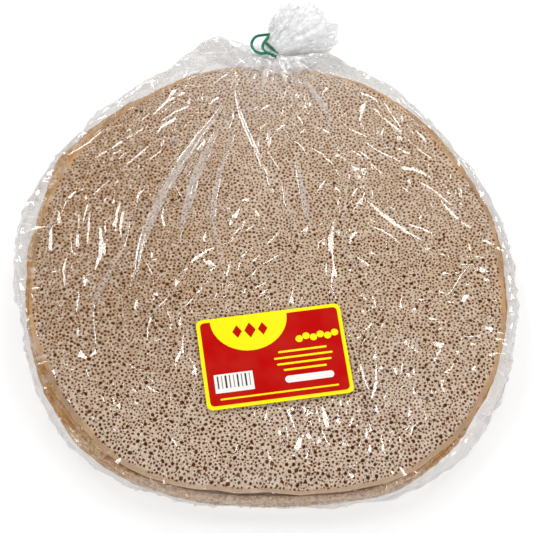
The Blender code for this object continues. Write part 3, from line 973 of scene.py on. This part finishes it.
class Folds:
    """Raised folds of the unrolled film; none crosses another.

    It holds points with their heights and milkiness, and the creases between them.
    """

    def __init__(self, rng):
        self.rng = rng
        self.points = []
        self.values = []
        self.edges = []
        self.taken = np.empty((0, 3))

    def add_line(self, line, heights, milks):
        first = len(self.points)
        self.points += [tuple(place) for place in line]
        self.values += list(zip(heights, milks))
        self.edges += [(first + k, first + k + 1) for k in range(len(line) - 1)]

    def free_run(self, path, half_width, step):
        """The longest stretch of a path that keeps clear of the folds so far."""
        length = np.concatenate([[0], np.cumsum(np.hypot(*np.diff(path, axis=0).T))])
        at = np.linspace(0, length[-1], max(3, int(length[-1] / (2.5 * MM))))
        fine = np.stack([np.interp(at, length, path[:, k]) for k in (0, 1)], 1)
        clear = unrolled_share(*fine.T) < FILM_REACH
        if len(self.taken):
            gap = np.hypot(*(fine[:, None, :] - self.taken[None, :, :2]).transpose(2, 0, 1))
            clear &= (gap - self.taken[None, :, 2]).min(axis=1) > half_width
        best, start = (0, 0), None
        for k, free in enumerate([*clear, False]):
            if free and start is None:
                start = k
            if not free and start is not None:
                if k - start > best[1] - best[0]:
                    best = (start, k)
                start = None
        fine = fine[best[0] : best[1]]
        run = (len(fine) - 1) * (at[1] - at[0])
        if len(fine) < 3 or run < SHORTEST_FOLD:
            return None
        taken = np.column_stack([fine, np.full(len(fine), half_width)])
        self.taken = np.concatenate([self.taken, taken])
        place = np.linspace(0, len(fine) - 1, max(3, int(round(run / step)) + 1))
        rank = np.arange(len(fine))
        return np.stack([np.interp(place, rank, fine[:, k]) for k in (0, 1)], 1)

    def lay(self, path, step, height, flat, milk, steepest, crest=0.0):
        """A raised fold along the free stretch of a path, if there is one.

        Its flanks rise to one crest, or to crests that lie `flat` apart in all. A
        crest is round, and `crest` is half its width, or it is sharp.
        """
        tilts = np.radians(self.rng.uniform(LEAST_STEEP, steepest, 2))
        left, right = height / np.tan(tilts)
        path = self.free_run(path, flat / 2 + max(left, right) * FLANK_KEPT, step)
        if path is None:
            return
        path = path + self.rng.normal(size=path.shape) * 0.045 * step
        count = len(path)
        swell = np.sin(np.linspace(0.15, np.pi - 0.15, count)) ** 0.7
        tops = height * swell * self.rng.uniform(0.96, 1.04, count)
        crests = ((0.0, 1.0),)
        if flat > WIDE_FOLD:
            crests = tuple((flat * at, rise) for at, rise in FOLD_RIBS)
        elif flat > 0:
            crests = ((-flat / 2, 1.0), (flat / 2, 0.8))
        profile = ((-crest, 0.88), (0.0, 1.0), (crest, 0.88)) if crest else ((0.0, 1.0),)
        for offset, share in crests:
            for aside, drop in profile:
                line = line_across(path, (offset + aside) * swell)
                self.add_line(line, tops * share * drop, milk * swell)
        low = self.rng.uniform(-0.02, 0.02, count) * MM
        for foot in (-(flat / 2 + left), flat / 2 + right):
            self.add_line(line_across(path, foot * swell), low, np.zeros(count))

    def crumple(self, places, steepest):
        """Short folds, strewn over the listed places."""
        rng = self.rng
        for x, y, wide, high, lean, scatter, count, short, long, rise in places:
            for _ in range(count):
                middle = mm(x, y) + rng.normal(size=2) * mm(wide, high)
                turn = math.radians(lean + rng.normal() * scatter)
                length = rng.uniform(short, long) * MM
                path = straight(middle, turn, length, 5, rng.uniform(-0.5, 0.5))
                flat = rng.choice([0.0, rng.uniform(0.8, 2.0)], p=[0.75, 0.25]) * MM
                height = rng.uniform(0.3, 1.0) * rise * MM
                self.lay(path, CRUMPLE_STEP, height, flat, 0.1 * rng.random(), steepest)

    def pleat(self):
        """Folds that run out from the neck."""
        rng = self.rng
        for i in rng.permutation(PLEATS):
            side = -1.45 + 2.9 * (i + rng.uniform(-0.4, 0.4)) / (PLEATS - 1)
            start = rng.uniform(8, 40) * MM
            length = rng.choice([rng.uniform(24, 60), rng.uniform(60, 170)], p=[0.8, 0.2])
            bend = rng.uniform(-2.5, 2.5)
            wander = 0.02 * rng.normal()
            along = start + np.linspace(0, length * MM, 24)
            turn = side + bend * (along - start) + wander * np.sin(along / (30 * MM))
            away = np.stack([np.sin(turn), -np.cos(turn)], 1)
            path = PLEATS_MEET + along[:, None] * away
            flat = rng.choice([0.0, rng.uniform(1.0, 3.0)], p=[0.7, 0.3]) * MM
            height, milk = rng.uniform(0.2, 0.6) * MM, rng.uniform(0.1, 0.6)
            self.lay(path, PLEAT_STEP, height, flat, milk, PLEAT_STEEPEST, CREST_HALF)

    def strew(self):
        """Loose folds all over the top, most of which point roughly to the neck."""
        rng = self.rng
        for _ in range(LOOSE_FOLDS):
            turn = rng.uniform(0, 2 * np.pi)
            share = math.sqrt(rng.uniform(0.02, 1.0))
            middle = PACK_CENTRE + share * 200 * MM * heading(turn)
            if any(math.dist(middle, mm(x, y)) < r * MM for x, y, r in CALM_PLACES):
                continue
            to_neck = polar(*PLEATS_MEET, middle)[0]
            turn = to_neck + rng.normal() * (0.5 if rng.random() < 0.6 else 3.0)
            length = rng.choice([rng.uniform(10, 24), rng.uniform(18, 45)]) * MM
            path = straight(middle, turn, length, 9, rng.uniform(-1.2, 1.2))
            height, milk = rng.uniform(0.2, 0.6) * MM, rng.uniform(0.0, 0.12)
            self.lay(path, LOOSE_STEP, height, 0.0, milk, LOOSE_STEEPEST)

    def ring(self):
        """Folds at the rim: by turns along it and across it."""
        rng = self.rng
        for i in range(RIM_FOLDS):
            turn = rng.uniform(0, 2 * np.pi)
            share = rng.uniform(0.80, 0.95)
            if i % 2:
                around = turn + rng.uniform(0.02, 0.10) * np.linspace(-1, 1, 7)
                share = share + rng.uniform(-0.35, 0.35) * (around - turn)
            else:
                share = share + rng.uniform(8, 26) * MM / 0.2 * np.linspace(-0.5, 0.5, 7)
                around = turn + rng.uniform(-0.5, 0.5) * (share - share.mean())
            path = plan_places(around, unrolled_radius(around) * share)
            milk = rng.uniform(0.2, 1.0) * (0.7 if math.sin(turn) < -0.5 else 1.0)
            self.lay(path, RIM_STEP, rng.uniform(0.5, 1.8) * MM, 0.0, milk, RIM_STEEPEST)

    def calm_points(self, rng):
        """Random points between the folds, dense in some places and sparse in others."""
        spots = Spots(9.0 * MM)
        for x, y in self.points:
            spots.add(x, y)
        tries = 40000
        xs, ys = rng.uniform(-0.23, 0.23, tries), rng.uniform(-0.25, 0.23, tries)
        share = unrolled_share(xs, ys)
        dense = smooth_step(0.3 + 0.9 * plan_noise(xs, ys, 34 * MM, 91))
        dense = np.maximum(dense, 0.75 * smooth_step((share - 0.78) / 0.08))
        heights = rng.uniform(-0.4, 1.5, tries) * MM * (0.2 + 0.8 * dense)
        gaps = (8.5 - 4.7 * dense) * MM
        milks = rng.uniform(0, 0.02, tries)
        rim_milks = rng.uniform(-0.6, 0.9, tries).clip(0)
        milks = milks + rim_milks * smooth_step((share - 0.80) / 0.06)
        for k in np.flatnonzero(share < FILM_REACH):
            if spots.free(xs[k], ys[k], gaps[k]):
                spots.add(xs[k], ys[k])
                self.points.append((xs[k], ys[k]))
                self.values.append((heights[k], milks[k]))


def film_folds():
    """All folds of the film, in the plane that it unrolls to."""
    rng = np.random.default_rng(2)
    folds = Folds(rng)
    for flat, height, milk, course in LONG_FOLDS:
        path = smooth_path(mm(*course))
        folds.lay(path, LONG_STEP, height * MM, flat * MM, milk, LONG_STEEPEST, CREST_HALF)
    folds.rng = np.random.default_rng(7)
    folds.crumple(SHARDS, SHARD_STEEPEST)
    folds.rng = rng
    folds.crumple(CRUMPLES, CRUMPLE_STEEPEST)
    folds.pleat()
    folds.strew()
    folds.ring()
    folds.calm_points(np.random.default_rng(8))
    return folds


def rolled(x, y):
    """Places of the unrolled film on the pack, with the surface's outward normal."""
    turn, reach = polar(x, y)
    flat = film_radius(turn) - FILM_RIM_WIDTH
    over = (reach - flat) / FILM_SIDE_LENGTH
    angle = np.clip(over, 0.0, 1.0) * np.pi
    half = (FILM_TOP - FILM_BOTTOM) / 2
    beyond = np.maximum(over - 1.0, 0.0) * FILM_SIDE_LENGTH
    bulge = FILM_RIM_WIDTH * np.abs(np.sin(angle)) ** FILM_RIM_SQUARENESS
    out = np.where(over <= 0, reach, flat + bulge - beyond)
    x, y = plan_places(turn, out).T
    z = FILM_BOTTOM + half + half * np.cos(angle)
    z = z + stack_swell(x, y) * smooth_step(1.0 - angle / 1.2)
    normal = np.column_stack([np.sin(angle)[:, None] * heading(turn), np.cos(angle)])
    return sagged(x, y, z), normal, angle


def with_base(place, faces, haze, share):
    """The film closed under the stack: flat rings from its lower edge to the middle."""
    rim = np.flatnonzero(share > share.max() - 1e-3)
    rim = rim[np.argsort(polar(*place[rim, :2].T)[0])]
    offset = place[rim, :2] - PACK_CENTRE
    count = len(rim)
    inwards = (0.97, 0.9, 0.75, 0.5, 0.25)
    rings = []
    for k, inward in enumerate(inwards):
        wave = 0.15 * MM * ring_noise(np.linspace(0, 2 * np.pi, count), 30, 130 + k)
        rings.append(np.column_stack([PACK_CENTRE + offset * inward, FILM_BOTTOM + np.abs(wave)]))
    first = len(place)
    last = first + count * len(inwards)
    quads = np.concatenate([rim, np.arange(first, last)])[grid_faces(len(inwards) + 1, count)]
    cap = cap_faces(last - count, count, last)
    place = np.concatenate([place, *rings, [[*PACK_CENTRE, FILM_BOTTOM]]])
    faces = np.concatenate([faces, split_quads(quads)[:, ::-1], cap[:, ::-1]])
    return place, faces, np.concatenate([haze, np.full(len(place) - first, 0.1)])


def film_body(look):
    """The film round the stack: flat facets between sharp creases, then cut finer."""
    folds = film_folds()
    count = FILM_AROUND
    turn = full_turn(count)
    points = [*plan_places(turn, unrolled_radius(turn)), *folds.points]
    values = [(0.0, 0.0)] * count + folds.values
    edges = [(a + count, b + count) for a, b in folds.edges]
    flat, faces, values, source = triangulated(points, values, count, edges)
    crossings = source < 0
    values[crossings] = neighbour_mean(values, faces)[crossings]
    faces = faces[unrolled_share(*flat[faces].mean(axis=1).T) < 1.02]
    flat, faces, values = subdivide(flat, faces, values)
    height, haze = values.T
    place, normal, angle = rolled(*flat.T)
    calm = smooth_step(label_distance(place[:, 0], place[:, 1]) / (7 * MM))
    calm = np.where(angle < 0.3, calm, 1.0)
    rim = smooth_step(angle / 1.2)
    height = height * calm * (1 + 0.2 * rim) + 0.3 * MM * calm
    height = height + 0.04 * MM * plan_noise(*flat.T, 5 * MM, 63)
    height = height + rim * 0.9 * MM * plan_noise(*flat.T, 16 * MM, 65)
    height = height * (1 - smooth_step((angle - 2.2) / 0.7))
    place = place + normal * height[:, None]
    place[:, 2] = np.maximum(place[:, 2], FILM_BOTTOM)
    x, y = place[:, 0], place[:, 1]
    gathered = np.exp(-polar(x, y, NECK)[1] / (38 * MM))
    haze = haze + 0.04 * smooth_step(plan_noise(*flat.T, 27 * MM, 67, 3) * 1.4) * calm
    far = 0.5 + 0.5 * np.tanh((y + 60 * MM) / (50 * MM))
    haze = haze * (1 - (1 - far) * smooth_step((-120 * MM - y) / (40 * MM)))
    haze = np.clip(haze + 0.35 * far * rim + 0.75 * gathered, 0, 1)
    place, faces, haze = with_base(place, faces, haze, unrolled_share(*flat.T))
    values = {"haze": haze}
    return make_piece("film_body", place, faces, [look], values, crisp=FILM_CRISP)


def fan_axes():
    """The gathered end's plane: its two directions and its normal."""
    across = np.array([1.0, 0.0, 0.0])
    upward = np.array([0.0, math.cos(FAN_PITCH), math.sin(FAN_PITCH)])
    return across, upward, np.cross(across, upward)


def neck_ring(turn):
    """Offsets of the neck's rim from its middle: from the right over the front."""
    across, upward, normal = fan_axes()
    side = math.sin(FAN_MIDDLE) * across - math.cos(FAN_MIDDLE) * upward
    return NECK_RADIUS * (np.cos(turn)[:, None] * side + np.sin(turn)[:, None] * normal)


def skirt_rows(turn, crest, ring, rng):
    """Pleated rows that rise from the film's top to the neck, with their milkiness."""
    count = len(turn)
    neck_turn = polar(*NECK[:2])[0]
    for k in range(SKIRT_ROWS):
        s = k / SKIRT_ROWS
        wide = 1.0 - 0.72 * s
        at = neck_turn - wide * SKIRT_TURN * np.cos(turn)
        flat = film_radius(at) - FILM_RIM_WIDTH + FILM_SIDE_LENGTH * 0.5
        reach = flat - wide * SKIRT_DEPTH * np.sin(turn)
        base, out, _ = rolled(*plan_places(at, reach).T)
        lift = 0.5 * MM + crest * 1.3 * MM * math.sin(math.pi * min(s * 1.2, 1.0))
        base = base + out * np.maximum(lift, 0.1 * MM)[:, None]
        pull = s**1.7
        row = base * (1 - pull) + (NECK + ring) * pull
        row = row + rng.normal(size=(count, 3)) * 0.2 * MM * math.sin(math.pi * s)
        yield row, np.full(count, 0.05 + 0.55 * s) * rng.uniform(0.5, 1.5, count)
    for _ in range(2):
        yield NECK + ring * (1.0 + 0.10 * crest[:, None]), np.full(count, 0.8)


def fan_rows(turn, crest, ring, rng):
    """Crumpled rows out to the fan's edge and, inside them, back to the neck."""
    count = len(turn)
    across, upward, normal = fan_axes()
    at = FAN_MIDDLE - FAN_HALF * np.cos(turn)
    reach = np.interp(at, FAN_TURNS, FAN_REACH)
    spread = np.cos(at)[:, None] * across + np.sin(at)[:, None] * upward
    jitter = 0.6 * rng.normal(size=count)
    for layer, shorter in ((1.0, 1.0), (0.62, 0.93)):
        folds = rng.normal(size=(5, count, 3))
        for k in range(1, FAN_ROWS + 1):
            t = k / FAN_ROWS if layer == 1.0 else 1.0 - 0.75 * k / FAN_ROWS
            out = reach * t * shorter * (1 + 0.03 * jitter * t)
            thick = (3.5 + 7.5 * math.sin(math.pi * min(t * 0.8 + 0.1, 1.0))) * MM * layer
            wave = 3.2 * MM * t * np.sin(4.2 * at + 0.6)
            depth = thick * np.sin(turn) + wave + crest * (0.8 + 1.3 * t) * MM * layer
            row = NECK + ring * (1 - t) ** 2 + spread * out[:, None] + normal * depth[:, None]
            step, rest = divmod(4 * k / (FAN_ROWS + 1), 1.0)
            bend = folds[int(step)] * (1 - rest) + folds[int(step) + 1] * rest
            bend = bend + 0.3 * rng.normal(size=(count, 3))
            row = row + bend * (0.4 + 0.7 * min(t * 3, 1)) * MM
            yield row, rng.uniform(0.25, 1.0, count) * (1.1 - 0.5 * t)


def film_end(look):
    """The gathered end: a pleated skirt on the body, the neck, and the open fan."""
    rng = np.random.default_rng(15)
    count = FAN_COLUMNS
    turn = full_turn(count) + rng.uniform(-0.3, 0.3, count) * 2 * np.pi / count
    crest = np.where(np.arange(count) % 2 == 0, 1.0, -1.0) * rng.uniform(0.4, 1.3, count)
    ring = neck_ring(turn)
    rows = list(skirt_rows(turn, crest, ring, rng))
    first_of_fan = len(rows) * count
    rows += fan_rows(turn, crest, ring, rng)
    points = np.concatenate([row for row, _ in rows])
    points[:, 2] = np.maximum(points[:, 2], FILM_BOTTOM)
    quads = grid_faces(len(rows), count)
    in_fan = np.arange(len(quads)) >= first_of_fan
    faces = split_quads(quads, in_fan & (rng.random(len(quads)) < 0.5))
    values = np.concatenate([haze for _, haze in rows])[:, None]
    for _ in range(2):
        points, faces, values = subdivide(points, faces, values)
    points = points + 0.2 * (neighbour_mean(points, faces) - points)
    values = {"haze": np.clip(values[:, 0], 0, 1)}
    return make_piece("film_end", points, faces, [look], values)


# ---------------------------------------------------------------- label and tie


def arc(wide, high, start, end, steps):
    """Points of an ellipse's arc, given by half its width and half its height."""
    turns = [start + (end - start) * k / steps for k in range(steps + 1)]
    return [(wide * math.cos(a), high * math.sin(a)) for a in turns]


def rounded_box(width, height, corner, steps=6):
    """The outline of a rectangle with round corners, anticlockwise."""
    outline = []
    for k, (x, y) in enumerate(((1, 1), (-1, 1), (-1, -1), (1, -1))):
        x, y = x * (width / 2 - corner), y * (height / 2 - corner)
        bend = arc(corner, corner, k * math.pi / 2, (k + 1) * math.pi / 2, steps)
        outline += [(x + u, y + v) for u, v in bend]
    return outline


class Prisms:
    """Flat printed shapes, each a thin closed slab on the label."""

    STOCK = LABEL_BOX[1][2] - LABEL_BOX[0][2]
    INK = 0.03 * MM

    def __init__(self):
        self.points = []
        self.faces = []
        self.looks = []

    def add(self, look, outline, x=0.0, y=0.0, layer=2, low=0.2 * MM):
        """An outline in mm, moved by x and y, and `layer` inks above the label."""
        first, count = len(self.points), len(outline)
        c, s = math.cos(LABEL_TURN), math.sin(LABEL_TURN)
        for z in (low, self.STOCK + layer * self.INK):
            for u, v in outline:
                u, v = (u + x) * MM, (v + y) * MM
                place = (LABEL_CENTRE[0] + u * c - v * s, LABEL_CENTRE[1] + u * s + v * c)
                self.points.append((*place, LABEL_BOX[0][2] + z))
        self.faces.append([first + k for k in reversed(range(count))])
        self.faces.append([first + count + k for k in range(count)])
        for k in range(count):
            a, b = first + k, first + (k + 1) % count
            self.faces.append([a, b, b + count, a + count])
        self.looks += [look] * (count + 2)


def label_print(looks):
    """A generic print: a yellow border, a red field, and plain shapes on it."""
    width, height = LABEL_SIZE / MM
    border, corner = 2.6, 4.2
    top = height / 2 - border
    prisms = Prisms()
    prisms.add(YELLOW, rounded_box(width, height, corner), layer=0, low=0.0)
    prisms.add(RED, rounded_box(width - 2 * border, height - 2 * border, 3.0), layer=1)
    prisms.add(YELLOW, arc(27, 25, -math.pi, 0, 24), -14, top)
    for k in range(3):
        size = 6.5 - 1.0 * abs(k - 1)
        lozenge = ((0.62 * size, 0), (0, 0.9 * size), (-0.62 * size, 0), (0, -0.9 * size))
        prisms.add(RED, lozenge, -23 + 9.0 * k, top - 9.5, 3)
    for k in range(6):
        disc = arc(2.6, 2.6, 0, 2 * math.pi, 24)[:-1]
        prisms.add(YELLOW, disc, 19 + 5.0 * k, 10.8 + 1.6 * (k % 2))
    prisms.add(WHITE, rounded_box(27, 14, 0.5), -30, -15.5)
    for k, wide in enumerate((1.6, 0.8, 2.2, 1.2, 0.8, 1.8, 1.0, 2.0, 0.8)):
        prisms.add(DARK, rounded_box(wide * 0.6, 9.5, 0.1, 1), -41 + 2.75 * k, -14.5, 3)
    for k, wide in enumerate((34, 41, 38, 30)):
        prisms.add(YELLOW, rounded_box(wide, 1.5, 0.7, 3), 20, 2.5 - 4.6 * k)
    prisms.add(WHITE, rounded_box(34, 5.2, 2.5), 22, -18.5)
    prisms.add(YELLOW, rounded_box(82, 1.3, 0.6, 3), 0, -27.2)
    return make_piece(
        "label_print", prisms.points, prisms.faces, looks, None, prisms.looks, 0.0
    )


def ribbon(path, width, twist_start, twist_end, facing):
    """Points and faces of a flat band along a path, turned about it as it goes."""
    ahead = np.gradient(path, axis=0)
    ahead /= np.linalg.norm(ahead, axis=1)[:, None]
    side = np.cross(ahead, facing)
    side /= np.linalg.norm(side, axis=1)[:, None]
    up = np.cross(side, ahead)
    turn = np.linspace(twist_start, twist_end, len(path))[:, None]
    wide = np.cos(turn) * side + np.sin(turn) * up
    flat = np.cos(turn) * up - np.sin(turn) * side
    rows = []
    for k in range(TIE_SIDES):
        a = 2 * math.pi * k / TIE_SIDES
        u = abs(math.cos(a)) ** 0.6 * math.copysign(1, math.cos(a)) * width / 2
        v = abs(math.sin(a)) ** 0.8 * math.copysign(1, math.sin(a)) * TIE_THICKNESS / 2
        v *= 1.0 + 0.7 * max(0.0, 1 - abs(u) / (0.22 * width))
        rows.append(path + wide * u + flat * v)
    points = np.stack(rows, 1).reshape(-1, 3)
    ends = [[*range(TIE_SIDES)][::-1], [*range(len(points) - TIE_SIDES, len(points))]]
    return points, grid_faces(len(path), TIE_SIDES).tolist() + ends


def tie(look):
    """A green ribbon round the neck with a standing loop and a twisted end."""
    ring = neck_ring(np.linspace(0, 2 * np.pi, 60)) * 1.13
    lift = TIE_LIFT * TO_VIEWER
    bands = [
        ribbon(NECK + ring, TIE_WIDTH, 0, 0, ring),
        ribbon(smooth_path(TIE_LOOP) + lift, TIE_WIDTH, 0.9, 0.4, TO_VIEWER),
        ribbon(smooth_path(TIE_STRAND) + lift, TIE_WIDTH, 0.2, 0.9, TO_VIEWER),
    ]
    twist = smooth_path(TIE_TWIST, 14) + lift
    ahead = (twist[-1] - twist[0]) / np.linalg.norm(twist[-1] - twist[0])
    side = np.cross(ahead, TO_VIEWER)
    up = np.cross(side, ahead)
    for phase in (0.0, math.pi):
        turns = np.linspace(0, 4 * math.pi, len(twist))[:, None] + phase
        path = twist + TIE_SWING * (np.cos(turns) * side + np.sin(turns) * up)
        bands.append(ribbon(path, TIE_WIDTH * 0.7, phase, phase + 9, TO_VIEWER))
    points, faces = [], []
    for band_points, band_faces in bands:
        faces += [[k + len(points) for k in face] for face in band_faces]
        points += band_points.tolist()
    return make_piece("tie_ribbon", points, faces, [look])


# ---------------------------------------------------------------- the whole scene


def build():
    rim_look = rim_bread_material()
    for level in range(BREADS - 1):
        lower_bread(level, rim_look)
    top_bread(top_bread_material())
    warm, cool = (0.88, 0.87, 0.86, 1.0), (0.90, 0.90, 0.906, 1.0)
    clear = film_material(
        "film_clear", warm, (0.985, 0.64), (0.0, 0.62), (0.055, 0.95), 0.03 * MM
    )
    milky = film_material(
        "film_milky", cool, (0.985, 0.88), (0.30, 0.74), (0.08, 0.9), 0.05 * MM
    )
    for piece in (film_body(clear), film_end(milky)):
        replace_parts(piece, "bag")
    inks = [
        print_material("print_yellow", rgb(255, 236, 20)),
        print_material("print_red", rgb(186, 4, 2)),
        print_material("print_white", rgb(244, 240, 236)),
        print_material("print_dark", rgb(60, 50, 50)),
    ]
    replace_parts(label_print(inks), "label")
    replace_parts(tie(tie_material()), "twist_tie")


def aim(made, place, toward):
    """Puts a lamp or the camera at a place, turned towards a direction."""
    made.location = place
    made.rotation_euler = Vector(toward).to_track_quat("-Z", "Y").to_euler()


def stage():
    """The floor, the world's light and the lamps."""
    mesh = bpy.data.meshes.new("floor")
    half = FLOOR_HALF
    corners = [(-half, -half, 0), (half, -half, 0), (half, half, 0), (-half, half, 0)]
    mesh.from_pydata(corners, [], [(0, 1, 2, 3)])
    mesh.materials.append(stage_material())
    floor = placed("floor", mesh)
    world = bpy.data.worlds.new("studio")
    world.use_nodes = True
    n = Nodes(world.node_tree)
    place = n.add("ShaderNodeTexCoord").outputs["Generated"]
    toward = n.add("ShaderNodeVectorMath", {0: place, 1: MIRRORED}, operation="DOT_PRODUCT")
    height = n.add("ShaderNodeSeparateXYZ", {0: place})
    overhead = n.spread(toward.outputs["Value"], 0.48, 0.80, 0.88, 0.02)
    horizon = n.spread(height.outputs["Z"], 0.10, 0.30, 0.75, 0.0)
    back = world.node_tree.nodes["Background"]
    world.node_tree.links.new(n.math("MAXIMUM", overhead, horizon), back.inputs["Strength"])
    back.inputs["Color"].default_value = (1, 1, 1, 1)
    bpy.context.scene.world = world
    for name, (at, size, power) in LAMPS.items():
        lamp = bpy.data.lights.new(name, "AREA")
        lamp.shape = "RECTANGLE"
        lamp.size, lamp.size_y = size
        lamp.energy = power
        aim(placed(name, lamp), at, Vector(LAMP_TARGET) - Vector(at))


def camera():
    data = bpy.data.cameras.new("camera")
    data.sensor_width = 36.0
    data.lens = CAMERA_LENS
    data.clip_start = 0.05
    made = placed("camera", data)
    back = Vector((0.0, -math.cos(CAMERA_ELEVATION), math.sin(CAMERA_ELEVATION)))
    aim(made, Vector(CAMERA_TARGET) + back * CAMERA_DISTANCE, -back)
    bpy.context.scene.camera = made


def finish_scene():
    scene = bpy.context.scene
    scene.view_settings.view_transform = "Standard"
    scene.cycles.use_denoising = True
    scene.cycles.transparent_max_bounces = 32


build()
stage()
camera()
finish_scene()
